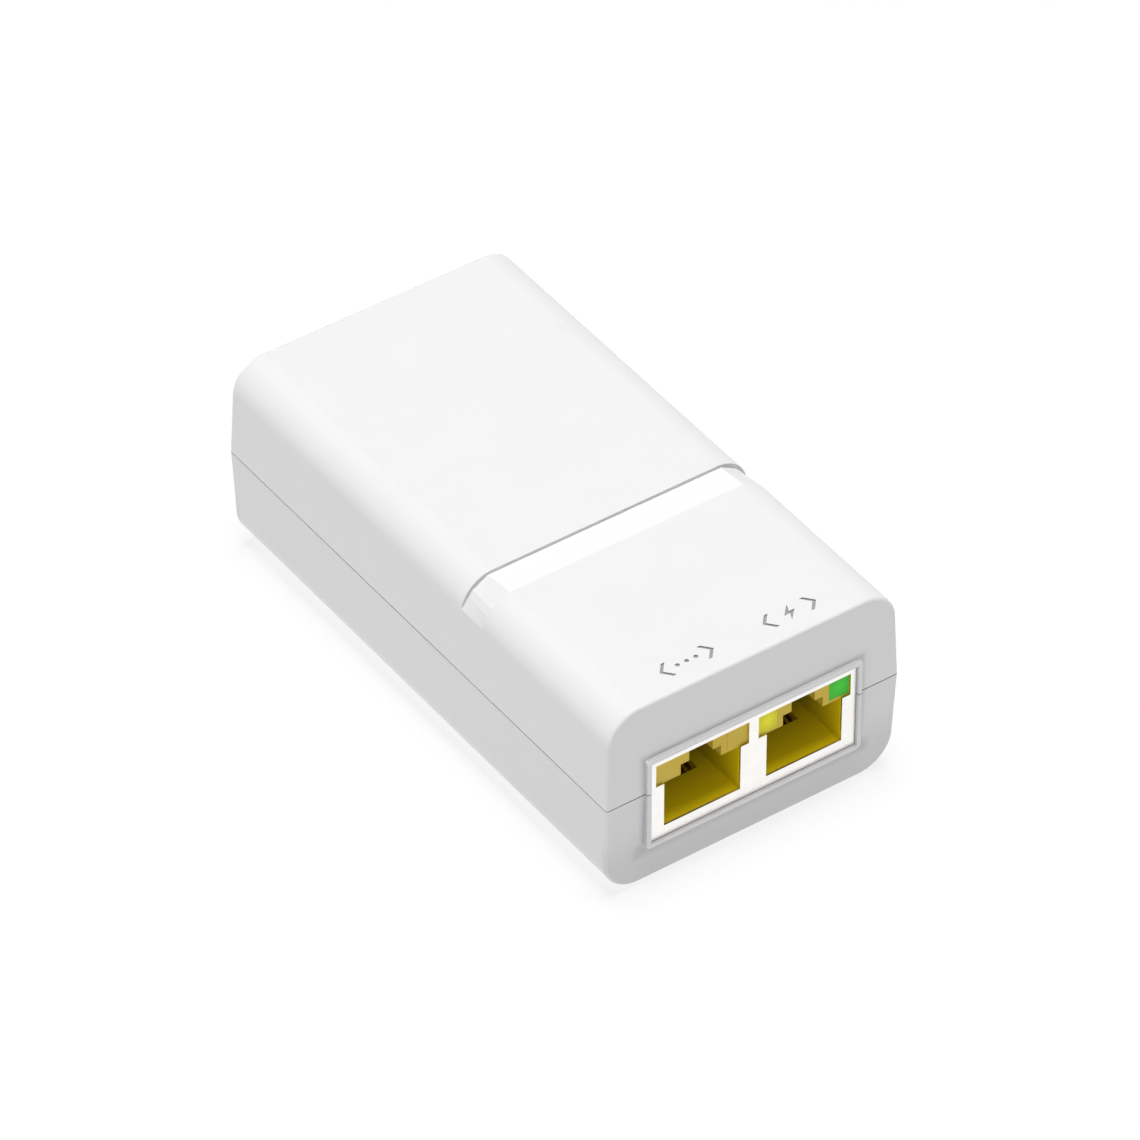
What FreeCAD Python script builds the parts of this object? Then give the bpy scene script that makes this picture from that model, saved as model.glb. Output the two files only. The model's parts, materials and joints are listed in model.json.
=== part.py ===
import FreeCAD, Part
import os
import re
import Sketcher

# A mains-powered PoE injector: a two-shell white case with a double network jack in the
# front, an earthed appliance inlet in the rear and a small power supply on one board.
# Millimetres. +X is to the right of someone facing the jacks, the jacks face -Y, +Z is up.
# The origin is under the middle of the case, on the surface that the rubber feet stand on.

doc = FreeCAD.newDocument("poe_injector")

SIZES = {
    # case: heights are measured from the surface that the feet stand on
    "case_width": 45.4, "case_length": 85.4, "base_z": 0.6, "seam_z": 15.7, "top_z": 30.2,
    "wall": 2.0, "side_draft_upper": 2.35, "side_draft_lower": 1.6,
    "end_draft_upper": 1.8, "end_draft_lower": 2.2,
    "edge_radius_upper": 4.9, "edge_radius_lower": 5.1, "end_edge_radius": 0.4,
    "inner_bevel": 2.2, "seam_gap": 0.2, "lip_width": 1.0, "lip_rise": 1.2, "clearance": 0.05,
    # step and ramp across the top, measured back from the front seam
    "step_back": 32.4, "ramp_length": 4.8, "ramp_depth": 0.5,
    "facet_angle_a": 11, "facet_angle_b": 46, "facet_angle_c": 59, "facet_angle_d": 82,
    # raised rims round the front and rear openings
    "rim_proud": 0.45, "rim_width": 0.7, "rim_radius": 0.3, "rim_corner": 0.8,
    "opening_gap": 0.15,
    # engraved symbols over the two jacks: brackets, three dots and a bolt
    "symbol_depth": 0.2, "symbol_back": 2.95, "symbol_high": 2.7, "symbol_shift": 0.45,
    "symbol_reach": 4.15, "bracket_depth": 1.15, "bracket_stroke": 0.55, "dot_size": 0.62,
    "dot_pitch": 1.4, "bolt_lean": 0.55, "bolt_reach": 0.95, "bolt_waist": 0.2, "bolt_nick": 0.05,
    # double network jack
    "jack_width": 31.9, "jack_depth": 19.5, "jack_floor_z": 7.15, "jack_top_z": 20.45,
    "shell_sheet": 0.2, "port_pitch": 15.88, "port_width": 11.84, "lamp_level_width": 14.39,
    "mouth_floor_z": 8.85, "mouth_step_z": 15.95, "mouth_top_z": 19.5,
    "insert_recess": 0.4, "insert_width": 15.3, "port_floor_z": 8.65, "port_depth": 14.5,
    "holder_floor_z": 15.75, "holder_step_z": 17.45, "holder_top_z": 19.55, "holder_depth": 5.0,
    "notch_wide": 6.24, "notch_narrow": 3.64, "lamp_inner_x": 4.1, "lamp_outer_x": 7.15,
    "lamp_floor_z": 16.2, "lamp_top_z": 19.45, "lamp_proud": 0.05,
    "latch_short": 3.0,
    # contact wires: eight in each port, hinged at the front bend
    "wire_pitch": 1.016, "wire_width": 0.4, "wire_thick": 0.3, "wire_angle": 22, "wire_length": 6.7,
    "wire_knee": 1.0, "wire_knee_drop": 0.5, "hinge_back": 6.7, "hinge_z": 8.45, "slot_width": 8.1,
    "slot_floor_z": 7.7, "slot_margin": 0.5, "tail_z": 7.75, "tail_end_back": 17.0,
    "pin_slot_half": 0.8,
    # screws, feet and label
    "boss_x": 15.5, "boss_y": 19.0, "boss_low": 7.6, "boss_up": 6.0, "screw_seat_z": 9.0,
    "boss_meet_z": 11.0, "screw_bore": 5.2, "screw_head": 4.8, "screw_head_high": 2.0,
    "screw_shank": 2.2, "screw_hole": 2.3, "screw_length": 10.0, "screw_taper": 1.0,
    "screw_tip": 0.6, "driver_rim": 0.7, "driver_width": 0.7,
    "foot_x": 12.0, "foot_y": 34.0, "foot_width": 9.0, "foot_thick": 1.2, "foot_edge": 0.25,
    "label_width": 24.0, "label_length": 46.0, "label_recess": 0.2, "label_thick": 0.15,
    "label_corner": 1.5,
    # board
    "board_thick": 1.6, "board_width": 39.2, "board_front": -40.3, "board_rear": 22.8,
    "board_notch": 8.6, "post_x": 17.9, "post_y": 12.0, "post_front_y": -29.0, "post_width": 3.5,
    "board_screw_head": 3.4, "board_screw_head_high": 1.3, "board_screw_length": 3.9,
    "sheet_thick": 0.4, "sheet_margin": 1.0, "block_bevel": 0.3,
    # upright capacitors: groove near the foot, rolled rim and sunken top
    "groove_z": 0.9, "groove_half": 0.3, "roll_drop": 0.4, "roll_in": 0.4, "sunk_in": 0.9,
    "sunk_depth": 0.2,
    # round and flat parts beside them
    "fuse_left": -7.9, "fuse_right": 0.8, "fuse_y": 11.5, "fuse_diameter": 3.2, "fuse_cap": 2.0,
    "fuse_cap_diameter": 3.8, "disc_lift": 1.0, "disc_soft": 0.4, "disc_leg": 0.6,
    "disc_leg_reach": 0.3,
    # choke: a ring core with a winding on each side
    "choke_x": 7.2, "choke_y": 8.0, "choke_outer": 9.4, "choke_inner": 5.2, "choke_high": 4.4,
    "choke_skin": 0.8, "choke_split": 1.2,
    # transformer: two flanges on pin rails, with the windings outside them
    "flange_width": 13.0, "flange_high": 13.0, "flange_thick": 0.8, "rail_high": 2.4,
    "rail_depth": 3.0, "coil_width": 11.0, "coil_top": 12.0, "coil_proud": 2.1, "coil_soft": 1.2,
    # signal transformer under the board
    "signal_width": 12.5, "signal_front": -33.0, "signal_rear": -25.5, "signal_high": 2.0,
    # mains inlet
    "inlet_width": 27.1, "inlet_floor_z": 5.9, "inlet_top_z": 25.5, "inlet_depth": 18.0,
    "well_width": 24.4, "well_high": 16.7, "well_bevel": 4.5, "well_depth": 16.5,
    "pin_thick": 2.0, "pin_high": 4.0, "pin_pitch": 14.0, "pin_offset": 2.0, "pin_tip_in": 1.0,
    "pin_tail": 3.0, "pin_leg": 0.8, "pin_bevel": 0.5, "pin_play": 0.02,
}

# Plain moulded or boxed parts that stand on the board: middle x, middle y, width, depth, height.
BOARD_BLOCKS = {
    "x_capacitor": (0.0, 17.5, 12.0, 6.0, 11.0),
    "bridge_rectifier": (-5.4, 4.4, 8.0, 6.0, 3.4),
    "transformer_core": (3.0, -7.5, 17.0, 7.0, 14.4),
    "heatsink": (17.95, -0.7, 1.5, 19.4, 14.5),
    "switching_transistor": (15.0, 3.6, 4.4, 9.8, 15.0),
    "optocoupler": (-8.8, -17.5, 4.4, 6.4, 3.6),
    "control_chip": (9.4, -17.5, 3.6, 5.0, 1.6),
}

# Round parts that stand upright on the board: middle x, middle y, diameter, height.
BOARD_CANS = {
    "output_capacitor_left": (-3.0, -18.6, 6.3, 11.0),
    "output_capacitor_right": (4.2, -18.6, 6.3, 11.0),
}

# Round parts that lie on the board along Y: middle x, middle y, diameter, length.
LYING_CANS = {
    "bulk_capacitor": (-14.2, -4.0, 9.6, 16.0),
    "output_diode": (13.9, -7.4, 4.6, 8.0),
}

# Lacquered discs that stand on edge: middle x, middle y, diameter, thickness.
BOARD_DISCS = {
    "thermistor": (-12.3, 10.4, 7.6, 3.0),
    "y_capacitor": (4.5, 0.9, 6.0, 2.2),
}

sheet = doc.addObject("Spreadsheet::Sheet", "sizes")
sheet_rows = dict(SIZES)
for table, words in ((BOARD_BLOCKS, ("mid_x", "mid_y", "width", "depth", "high")),
                     (BOARD_CANS, ("mid_x", "mid_y", "diameter", "high")),
                     (LYING_CANS, ("mid_x", "mid_y", "diameter", "length")),
                     (BOARD_DISCS, ("mid_x", "mid_y", "diameter", "thick"))):
    for label, values in table.items():
        for word, value in zip(words, values):
            sheet_rows[label + "_" + word] = value
for row, (alias, value) in enumerate(sheet_rows.items(), start=1):
    sheet.set(f"A{row}", alias)
    sheet.set(f"B{row}", str(value))
    sheet.setAlias(f"B{row}", alias)
doc.recompute()

FRONT = "-case_length/2"
REAR = "case_length/2"
BOARD_TOP = "jack_floor_z"
BOARD_BOTTOM = "jack_floor_z - board_thick"
FLOOR = "base_z + wall"
CEILING = "top_z - wall"
INSERT_FRONT = "-case_length/2 + insert_recess"
PORTS = {"lan": "(-port_pitch/2)", "poe": "(port_pitch/2)"}
ALIAS = re.compile(r"\b(" + "|".join(sorted(sheet_rows, key=len, reverse=True)) + r")\b")
PLANE_SIGN = {"XY": 1, "XZ": -1, "YZ": 1}
finished = []


# --- helpers: text written with the sheet's aliases becomes a bound expression ---

def bound(text):
    """The text with each alias written as a reference to its cell."""
    return ALIAS.sub(r"sizes.\1", str(text))


def value_of(text):
    """The number that a text of aliases comes to."""
    return float(sheet.evalExpression(bound(text)))


def new_body(label):
    body = doc.addObject("PartDesign::Body", label)
    body.Label = label
    return body


def origin_feature(body, role):
    return [item for item in body.Origin.OriginFeatures if item.Role == role][0]


def fix_point(sketch, geometry, point, x_text, y_text):
    """Holds one point of a sketch at bound distances from the sketch's origin."""
    for kind, text in (("DistanceX", x_text), ("DistanceY", y_text)):
        rule = Sketcher.Constraint(kind, -1, 1, geometry, point, value_of(text))
        number = sketch.addConstraint(rule)
        sketch.setExpression(f"Constraints[{number}]", bound(text))


def draw_polygon(sketch, corners):
    places = [FreeCAD.Vector(value_of(x), value_of(y), 0) for x, y in corners]
    first = sketch.GeometryCount
    count = len(places)
    for index in range(count):
        sketch.addGeometry(Part.LineSegment(places[index], places[(index + 1) % count]))
    for index in range(count):
        after = first + (index + 1) % count
        sketch.addConstraint(Sketcher.Constraint("Coincident", first + index, 2, after, 1))
    for index, (x, y) in enumerate(corners):
        fix_point(sketch, first + index, 1, x, y)


def draw_circle(sketch, x, y, diameter):
    middle = FreeCAD.Vector(value_of(x), value_of(y), 0)
    circle = Part.Circle(middle, FreeCAD.Vector(0, 0, 1), value_of(diameter) / 2)
    number = sketch.addGeometry(circle)
    fix_point(sketch, number, 3, x, y)
    rule = sketch.addConstraint(Sketcher.Constraint("Diameter", number, value_of(diameter)))
    sketch.setExpression(f"Constraints[{rule}]", bound(diameter))


def new_sketch(body, name, plane, height, outlines):
    """A sketch parallel to an origin plane; an outline is a corner list or (x, y, diameter)."""
    sketch = body.newObject("Sketcher::SketchObject", name)
    sketch.AttachmentSupport = [(origin_feature(body, plane + "_Plane"), "")]
    sketch.MapMode = "FlatFace"
    offset = f"({bound(height)}) * {PLANE_SIGN[plane]}"
    sketch.setExpression("AttachmentOffset.Base.z", offset)
    for outline in outlines:
        if isinstance(outline, tuple):
            draw_circle(sketch, *outline)
        else:
            draw_polygon(sketch, outline)
    return sketch


def extrude(body, kind, name, plane, outlines, start, end):
    """Pads or pockets outlines between two heights along the plane's own axis."""
    before = body.Shape.Volume if not body.Shape.isNull() else 0.0
    sketch = new_sketch(body, name + "_sketch", plane, start, outlines)
    feature = body.newObject("PartDesign::" + kind, name)
    feature.Profile = sketch
    feature.setExpression("Length", f"abs(({bound(end)}) - ({bound(start)}))")
    along_normal = (value_of(end) > value_of(start)) == (PLANE_SIGN[plane] > 0)
    feature.Reversed = along_normal if kind == "Pocket" else not along_normal
    doc.recompute()
    change = body.Shape.Volume - before
    if (kind == "Pocket" and change >= -1e-6) or (kind == "Pad" and change <= 1e-6):
        raise ValueError(f"{body.Label}: {name} changed nothing")
    return feature


def pad(body, name, plane, outlines, start, end):
    return extrude(body, "Pad", name, plane, outlines, start, end)


def pocket(body, name, plane, outlines, start, end):
    return extrude(body, "Pocket", name, plane, outlines, start, end)


def rectangle(left, right, low, high):
    return [(left, low), (right, low), (right, high), (left, high)]


def centred(middle, width, low, high):
    return rectangle(f"{middle} - ({width})/2", f"{middle} + ({width})/2", low, high)


def dress(body, kind, name, size, wanted):
    """Fillets or chamfers the edges of the body's last feature that pass the test."""
    base = body.Tip
    names = [f"Edge{number}" for number, edge in enumerate(base.Shape.Edges, start=1) if wanted(edge)]
    if not names:
        raise ValueError(f"{body.Label}: {name} found no edge")
    feature = body.newObject("PartDesign::" + kind, name)
    feature.Base = (base, names)
    feature.setExpression("Radius" if kind == "Fillet" else "Size", bound(size))
    doc.recompute()
    return feature


def spin(body, name, outline, place, axis="V_Axis", removes=False):
    """Turns an outline in a plane parallel to XZ about the sketch axis through a place."""
    sketch = new_sketch(body, name + "_sketch", "XZ", place[1], [outline])
    sketch.setExpression("AttachmentOffset.Base.x", bound(place[0]))
    sketch.setExpression("AttachmentOffset.Base.y", bound(place[2]))
    feature = body.newObject("PartDesign::" + ("Groove" if removes else "Revolution"), name)
    feature.Profile = sketch
    feature.ReferenceAxis = (sketch, [axis])
    feature.Angle = 360
    doc.recompute()
    return feature


def group(label, members):
    """Separate pieces of one kind, kept together as one node."""
    compound = doc.addObject("Part::Compound", label)
    compound.Label = label
    compound.Links = members
    return compound


def finish(item):
    """Marks a sub-part as complete, so that it is checked and written."""
    finished.append(item)
    return item


def along(edge, axis):
    """True for a straight edge that runs along X, Y or Z within a few degrees."""
    if edge.Curve.TypeId != "Part::GeomLine":
        return False
    span = edge.Vertexes[-1].Point - edge.Vertexes[0].Point
    return abs(getattr(span.normalize(), axis)) > 0.995


def edge_middle(edge):
    return edge.CenterOfMass


# --- case ---

def half_case(label, sign, draft, lean, radius, outer_start, outer_end):
    """One drafted shell half with rounded long edges and crisp ends."""
    body = new_body(label)
    rise = f"abs({outer_end} - seam_z)"
    narrow = f"(case_width/2 - {rise} * tan({draft}))"
    outline = [("-case_width/2", outer_start), ("case_width/2", outer_start),
               (narrow, outer_end), (f"-{narrow}", outer_end)]
    pad(body, "shell", "XZ", [outline], FRONT, REAR)
    beyond = f"({outer_end} + {sign})"
    inset = f"({rise} + 1) * tan({lean})"
    wedges = []
    for end, inward in ((FRONT, "+"), (REAR, "-")):
        wedges.append([(end, "seam_z"), (end, beyond), (f"{end} {inward} {inset}", beyond)])
    pocket(body, "leaning_ends", "YZ", wedges, "-case_width", "case_width")
    far = value_of(outer_end)
    dress(body, "Fillet", "long_edges", radius,
          lambda edge: along(edge, "y") and abs(edge_middle(edge).z - far) < 0.01)
    near = value_of(outer_start)
    end_y = value_of(REAR) - 2
    dress(body, "Fillet", "end_edges", "end_edge_radius",
          lambda edge: abs(edge_middle(edge).y) > end_y and abs(edge_middle(edge).z - near) > 0.5
          and not along(edge, "y"))
    return body


def hollow(body, seam_side, inner_end, sign):
    """Cuts the room inside a shell half, with bevelled long corners."""
    half = "(case_width/2 - wall)"
    bevel = f"{inner_end} - {sign} * inner_bevel"
    outline = [(f"-{half}", seam_side), (half, seam_side), (half, bevel),
               (f"{half} - inner_bevel", inner_end), (f"-{half} + inner_bevel", inner_end),
               (f"-{half}", bevel)]
    pocket(body, "room", "XZ", [outline], f"{FRONT} + wall", f"{REAR} - wall")


def opening_outline(width, floor, top, grow):
    """The outline of a jack or inlet opening, grown evenly all round."""
    return centred("0", f"{width} + 2*({grow})", f"{floor} - ({grow})", f"{top} + ({grow})")


OPENINGS = {
    "jack": (FRONT, "-", "jack_width", "jack_floor_z", "jack_top_z"),
    "inlet": (REAR, "+", "inlet_width", "inlet_floor_z", "inlet_top_z"),
}


def add_rim(body, name, seam_side, upper):
    """Half of the raised rim round an opening, up to the seam."""
    end, outward, width, floor, top = OPENINGS[name]
    inward = "+" if outward == "-" else "-"
    half_width = f"({width}/2 + opening_gap + rim_width)"
    far = f"{top} + opening_gap + rim_width" if upper else f"{floor} - opening_gap - rim_width"
    outline = [(f"-{half_width}", seam_side), (half_width, seam_side), (half_width, far),
               (f"-{half_width}", far)]
    pad(body, name + "_rim", "XZ", [outline], f"{end} {outward} rim_proud", f"{end} {inward} wall/2")
    proud = abs(value_of(f"{end} {outward} rim_proud"))
    seam = value_of(seam_side)
    corner_x, corner_z = value_of(half_width), value_of(far)
    dress(body, "Fillet", name + "_rim_corners", "rim_corner",
          lambda edge: along(edge, "y") and abs(abs(edge_middle(edge).x) - corner_x) < 0.01
          and abs(edge_middle(edge).z - corner_z) < 0.01)
    dress(body, "Fillet", name + "_rim_round", "rim_radius",
          lambda edge: abs(abs(edge_middle(edge).y) - proud) < 0.01
          and edge_middle(edge).y * (-1 if outward == "-" else 1) > 0
          and abs(edge_middle(edge).z - seam) > 0.5)


def cut_opening(body, name):
    end, outward, width, floor, top = OPENINGS[name]
    inward = "+" if outward == "-" else "-"
    pocket(body, name + "_opening", "XZ", [opening_outline(width, floor, top, "opening_gap")],
           f"{end} {outward} 1", f"{end} {inward} (wall + 1)")


def ramp_corners(drop):
    """Facet corners across the top: points on the rounded profile, sunk by a drop.

    The outermost corner on each side stays on the surface, so the step fades out there.
    """
    side = "(case_width/2 - (top_z - seam_z) * tan(side_draft_upper))"
    middle_x = (f"({side} + edge_radius_upper*tan(side_draft_upper)"
                " - edge_radius_upper/cos(side_draft_upper))")
    middle_z = "(top_z - edge_radius_upper)"
    right = []
    for letter in "dcba":
        angle = f"facet_angle_{letter}"
        reach = "edge_radius_upper" if letter == "d" else f"(edge_radius_upper - ({drop}))"
        right.append((f"{middle_x} + {reach} * sin({angle})",
                      f"{middle_z} + {reach} * cos({angle})"))
    flat_z = f"top_z - ({drop})"
    right[-1] = (right[-1][0], flat_z)
    left = [(f"-({x})", z) for x, z in reversed(right)]
    margin = "(case_width/2 + 2)"
    right_low = (margin, right[0][1])
    left_low = (f"-{margin}", right[0][1])
    return right + left + [left_low, (f"-{margin}", "top_z + 2"), (margin, "top_z + 2"), right_low]


def cut_ramp(body):
    """The step across the top, with a ramp that rises forward from its foot."""
    step_y = f"({FRONT} + step_back)"
    front_sketch = new_sketch(body, "ramp_front", "XZ", f"{step_y} - ramp_length", [ramp_corners("0")])
    rear_sketch = new_sketch(body, "ramp_rear", "XZ", step_y, [ramp_corners("ramp_depth")])
    before = body.Shape.Volume
    loft = body.newObject("PartDesign::SubtractiveLoft", "ramp")
    loft.Profile = front_sketch
    loft.Sections = [rear_sketch]
    loft.Ruled = True
    doc.recompute()
    if body.Shape.Volume >= before:
        raise ValueError("the ramp cut nothing")


SYMBOL_LOW = f"({FRONT} + symbol_back)"
SYMBOL_HIGH = f"({FRONT} + symbol_back + symbol_high)"
SYMBOL_MIDDLE = f"({FRONT} + symbol_back + symbol_high/2)"


def bracket(tip, turn):
    """An angle bracket as one outline; turn is +1 when it opens to the right."""
    far = f"{tip} + {turn}*bracket_depth"
    back = f"{turn}*bracket_stroke"
    return [(tip, SYMBOL_MIDDLE), (far, SYMBOL_HIGH), (f"{far} + {back}", SYMBOL_HIGH),
            (f"{tip} + {back}", SYMBOL_MIDDLE), (f"{far} + {back}", SYMBOL_LOW), (far, SYMBOL_LOW)]


def bolt(x):
    """A lightning bolt, the usual sign for supplied power."""
    left_waist = f"{SYMBOL_MIDDLE} - bolt_waist"
    right_waist = f"{SYMBOL_MIDDLE} + bolt_waist"
    return [(f"{x} + bolt_lean", SYMBOL_HIGH), (f"{x} - bolt_reach", left_waist),
            (f"{x} - bolt_nick", left_waist), (f"{x} - bolt_lean", SYMBOL_LOW),
            (f"{x} + bolt_reach", right_waist), (f"{x} + bolt_nick", right_waist)]


def engrave_symbols(body):
    """Dots in brackets over the left jack and a bolt in brackets over the right one."""
    outlines = []
    for port in PORTS.values():
        x = f"({port} + symbol_shift)"
        outlines.append(bracket(f"{x} - symbol_reach", 1))
        outlines.append(bracket(f"{x} + symbol_reach", -1))
    dots_x = f"({PORTS['lan']} + symbol_shift)"
    outlines += [(f"{dots_x} + {step}*dot_pitch", SYMBOL_MIDDLE, "dot_size") for step in (-1, 0, 1)]
    outlines.append(bolt(f"({PORTS['poe']} + symbol_shift)"))
    pocket(body, "symbols", "XY", outlines, "top_z + 1", "top_z - symbol_depth")


def boss_places():
    return [(f"{sx} * boss_x", f"{sy} * boss_y") for sx in (-1, 1) for sy in (-1, 1)]


def top_cover():
    seam_side = "seam_z + seam_gap/2"
    body = half_case("top_cover", 1, "side_draft_upper", "end_draft_upper",
                     "edge_radius_upper", seam_side, "top_z")
    hollow(body, seam_side, CEILING, 1)
    for name in OPENINGS:
        add_rim(body, name, seam_side, True)
    inside = centred("0", "case_width - 2*lip_width", f"{FRONT} + lip_width", f"{REAR} - lip_width")
    pocket(body, "lip_rebate", "XY", [inside], "seam_z - 1", "seam_z + lip_rise")
    for name in OPENINGS:
        cut_opening(body, name)
    cut_ramp(body)
    engrave_symbols(body)
    bosses = [(x, y, "boss_up") for x, y in boss_places()]
    pad(body, "screw_bosses", "XY", bosses, "boss_meet_z", f"{CEILING} + 0.5")
    holes = [(x, y, "screw_hole") for x, y in boss_places()]
    pocket(body, "pilot_holes", "XY", holes, "boss_meet_z - 1", "screw_seat_z + screw_length + 1")
    return finish(body)


def bottom_cover():
    seam_side = "seam_z - seam_gap/2"
    body = half_case("bottom_cover", -1, "side_draft_lower", "end_draft_lower",
                     "edge_radius_lower", seam_side, "base_z")
    hollow(body, "seam_z + 1", FLOOR, -1)
    for name in OPENINGS:
        add_rim(body, name, seam_side, False)
    lip = "lip_width + clearance"
    lip_outer = centred("0", f"case_width - 2*({lip})", f"{FRONT} + {lip}", f"{REAR} - ({lip})")
    lip_inner = centred("0", "case_width - 2*wall", f"{FRONT} + wall", f"{REAR} - wall")
    pad(body, "lip", "XY", [lip_outer, lip_inner], "seam_z - 1", "seam_z + lip_rise")
    for name in OPENINGS:
        cut_opening(body, name)
    bosses = [(x, y, "boss_low") for x, y in boss_places()]
    pad(body, "screw_bosses", "XY", bosses, f"{FLOOR} - 0.5", "boss_meet_z")
    posts = [(x, y, "post_width") for x, y in post_places()]
    pad(body, "board_posts", "XY", posts, f"{FLOOR} - 0.5", BOARD_BOTTOM)
    wide = [(x, y, "screw_bore") for x, y in boss_places()]
    pocket(body, "head_bores", "XY", wide, "base_z - 1", "screw_seat_z")
    narrow = [(x, y, "screw_hole") for x, y in boss_places()]
    pocket(body, "shank_bores", "XY", narrow, "screw_seat_z - 1", "boss_meet_z + 1")
    pilots = [(x, y, "screw_hole") for x, y in post_places()]
    pocket(body, "post_holes", "XY", pilots, f"{FLOOR} - 0.4", f"{BOARD_BOTTOM} + 1")
    feet = [(x, y, "foot_width + 2*clearance") for x, y in foot_places()]
    pocket(body, "foot_recesses", "XY", feet, "base_z - 1", "foot_thick")
    label = centred("0", "label_width + 2*clearance", "-label_length/2 - clearance",
                    "label_length/2 + clearance")
    pocket(body, "label_recess", "XY", [label], "base_z - 1", "base_z + label_recess")
    return finish(body)


def post_places():
    return [(f"{sx} * post_x", y) for sx in (-1, 1) for y in ("post_y", "post_front_y")]


def foot_places():
    return [(f"{sx} * foot_x", f"{sy} * foot_y") for sx in (-1, 1) for sy in (-1, 1)]


def screw_outline(head, head_high, length):
    """Half the section of a screw, head down, with its seat at the sketch's origin."""
    shank = "screw_shank/2"
    return [("0", f"-{head_high}"), (f"{head}/2", f"-{head_high}"), (f"{head}/2", "0"),
            (shank, "0"), (shank, f"{length} - screw_taper"), ("screw_tip/2", length), ("0", length)]


def screws(label, places, head, head_high, length, seat, turned):
    members = []
    for number, (x, y) in enumerate(places, start=1):
        body = new_body(f"{label}_{number}")
        outline = screw_outline(head, head_high, length)
        if turned:
            outline = [(u, f"-({v})") for u, v in outline]
        spin(body, "turned_shape", outline, (x, y, seat))
        outer = f"{seat} + {head_high}" if turned else f"{seat} - {head_high}"
        inner = f"({outer}) - {head_high}/2" if turned else f"({outer}) + {head_high}/2"
        arm, half = f"({head}/2 - driver_rim)", "driver_width/2"
        along_x = rectangle(f"{x} - {arm}", f"{x} + {arm}", f"{y} - {half}", f"{y} + {half}")
        pocket(body, "driver_slot", "XY", [along_x], outer, inner)
        along_y = rectangle(f"{x} - {half}", f"{x} + {half}", f"{y} - {arm}", f"{y} + {arm}")
        pocket(body, "driver_slot_across", "XY", [along_y], outer, inner)
        members.append(body)
    return finish(group(label, members))


def rubber_feet():
    members = []
    for number, (x, y) in enumerate(foot_places(), start=1):
        body = new_body(f"foot_{number}")
        pad(body, "disc", "XY", [(x, y, "foot_width")], "0", "foot_thick")
        dress(body, "Fillet", "worn_edge", "foot_edge", lambda edge: edge_middle(edge).z < 0.01)
        members.append(body)
    return finish(group("rubber_feet", members))


def rating_label():
    body = new_body("rating_label")
    outline = centred("0", "label_width", "-label_length/2", "label_length/2")
    upper = "base_z + label_recess"
    pad(body, "foil", "XY", [outline], f"{upper} - label_thick", upper)
    dress(body, "Fillet", "corners", "label_corner", lambda edge: along(edge, "z"))
    return finish(body)


# --- double network jack ---

def mouth_outline(middle):
    """The stepped opening of one port: narrow for the plug, wider where the lamps are."""
    narrow = f"{middle} - port_width/2", f"{middle} + port_width/2"
    wide = f"{middle} - lamp_level_width/2", f"{middle} + lamp_level_width/2"
    return [(narrow[0], "mouth_floor_z"), (narrow[1], "mouth_floor_z"), (narrow[1], "mouth_step_z"),
            (wide[1], "mouth_step_z"), (wide[1], "mouth_top_z"), (wide[0], "mouth_top_z"),
            (wide[0], "mouth_step_z"), (narrow[0], "mouth_step_z")]


def jack_shell():
    body = new_body("jack_shell")
    outline = centred("0", "jack_width", "jack_floor_z", "jack_top_z")
    pad(body, "outside", "XZ", [outline], FRONT, f"{FRONT} + jack_depth")
    inside = centred("0", "jack_width - 2*shell_sheet", "jack_floor_z + shell_sheet",
                     "jack_top_z - shell_sheet")
    pocket(body, "inside", "XZ", [inside], f"{FRONT} + shell_sheet", f"{FRONT} + jack_depth + 1")
    mouths = [mouth_outline(middle) for middle in PORTS.values()]
    pocket(body, "mouths", "XZ", mouths, f"{FRONT} - 1", f"{FRONT} + insert_recess")
    slots = [centred(middle, "slot_width", f"{INSERT_FRONT} + tail_end_back - 1",
                     f"{INSERT_FRONT} + tail_end_back + 1") for middle in PORTS.values()]
    pocket(body, "pin_slots", "XY", slots, "jack_floor_z - 1", "jack_floor_z + 2*shell_sheet")
    return finish(body)


def holder_outline(middle, side):
    """The stepped block in one upper corner of a port, which frames a lamp."""
    inner_high = f"{middle} + {side} * notch_narrow/2"
    inner_low = f"{middle} + {side} * notch_wide/2"
    outer = f"{middle} + {side} * lamp_level_width/2"
    return [(inner_high, "holder_top_z"), (outer, "holder_top_z"), (outer, "holder_floor_z"),
            (inner_low, "holder_floor_z"), (inner_low, "holder_step_z"), (inner_high, "holder_step_z")]


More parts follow.
